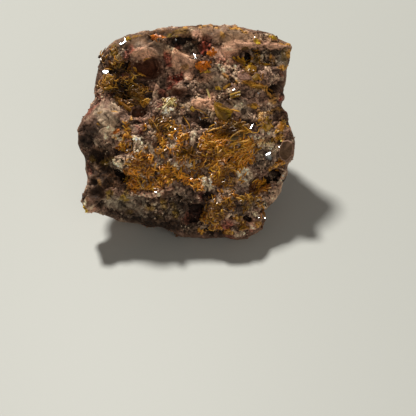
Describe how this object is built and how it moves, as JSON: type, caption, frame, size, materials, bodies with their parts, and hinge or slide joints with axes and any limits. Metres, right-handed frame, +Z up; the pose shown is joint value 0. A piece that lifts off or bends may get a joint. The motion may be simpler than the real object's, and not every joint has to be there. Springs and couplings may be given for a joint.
{
  "type": "wulfenite on matrix",
  "caption": "Broken lump of pinkish brown and grey rock standing on a flat foot, its leaning face overgrown with thin honey and orange wulfenite plates.",
  "frame": {"origin": "under the middle of the specimen, on the surface that it stands on", "axes": "+Z up, +X to the right and -Y towards a viewer of the leaning crystal face"},
  "size_m": [0.0474, 0.0432, 0.0372],
  "materials": {
    "rock": "rough broken rock, pinkish brown and mauve grey with brick red stains and pale druse",
    "wulfenite_honey": "shiny, partly translucent honey and orange brown crystal",
    "wulfenite_olive": "shiny, partly translucent olive brown crystal",
    "wulfenite_yellow": "shiny, partly translucent golden yellow crystal"
  },
  "bodies": {
    "root": {"matrix": "rock", "wulfenite_crust_centre": "wulfenite_honey", "wulfenite_crust_lower_right": "wulfenite_honey", "wulfenite_blades_by_slot": "wulfenite_honey", "wulfenite_tangle_upper_left": "wulfenite_olive", "wulfenite_crystal_olive": "wulfenite_olive", "wulfenite_cluster_upper_right": "wulfenite_yellow", "wulfenite_patch_right_edge": "wulfenite_yellow"}
  },
  "joints": []
}
